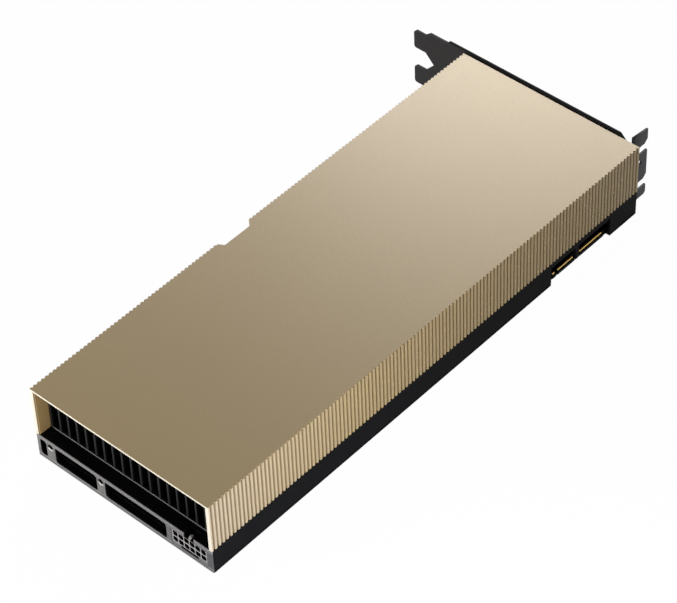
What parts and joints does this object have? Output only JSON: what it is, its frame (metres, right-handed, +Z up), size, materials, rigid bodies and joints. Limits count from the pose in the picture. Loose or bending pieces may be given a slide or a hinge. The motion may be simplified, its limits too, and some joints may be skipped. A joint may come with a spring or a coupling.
{
  "type": "passive accelerator card",
  "caption": "Dual-slot passively cooled accelerator card: fluted metal shroud over black fins on a deep-rimmed frame, with a two-tongue slot bracket and a power header at the open tail.",
  "frame": {"origin": "middle of the backplate's underside, halfway along the shroud and halfway across it", "axes": "+X along the card to the slot bracket, +Y to the slot connector, +Z up from the backplate to the shroud"},
  "size_m": [0.2801, 0.1281, 0.0392],
  "materials": {
    "champagne_anodised": "fine bead-blasted anodised finish",
    "black_casting": "black satin coating",
    "dark_heatsink": "black coated sheet",
    "grey_bracket": "dark plated steel sheet",
    "black_board": "dark solder mask",
    "gold_contact": "gold plated",
    "insert_steel": "blackened, turned",
    "spring_steel": "plain sheet",
    "screw_black": "black oxide",
    "package_laminate": "green laminate",
    "polished_silicon": "polished",
    "thermal_grease": "soft grey paste",
    "thermal_pad": "soft pad",
    "chip_black": "moulded",
    "ferrite_grey": "pressed powder",
    "can_aluminium": "bright drawn can",
    "capacitor_case": "moulded",
    "fuse_body": "glazed",
    "header_plastic": "moulded"
  },
  "bodies": {
    "root": {"shroud": "champagne_anodised", "mid_frame": "black_casting", "backplate": "black_casting", "heatsink_base": "dark_heatsink", "fins": "dark_heatsink", "io_bracket": "grey_bracket", "circuit_board": "black_board", "bridge_contacts": "gold_contact", "edge_contacts_front": "gold_contact", "edge_contacts_back": "gold_contact", "power_pins": "gold_contact", "sense_pins": "gold_contact", "tail_inserts": "insert_steel", "clamp_plate": "spring_steel", "package_frame": "spring_steel", "clock_crystal": "spring_steel", "backplate_screws": "screw_black", "heatsink_screws": "screw_black", "shroud_screws": "screw_black", "bracket_screws": "screw_black", "gpu_substrate": "package_laminate", "gpu_die": "polished_silicon", "memory_stacks": "polished_silicon", "thermal_paste": "thermal_grease", "stage_pads": "thermal_pad", "backplate_pads": "thermal_pad", "power_stages": "chip_black", "board_controller": "chip_black", "flash_chip": "chip_black", "inductors": "ferrite_grey", "input_capacitors": "can_aluminium", "bulk_capacitors": "capacitor_case", "rear_capacitors": "capacitor_case", "inlet_fuse": "fuse_body", "power_housing": "header_plastic", "bridge_divider": "header_plastic"}
  },
  "joints": []
}
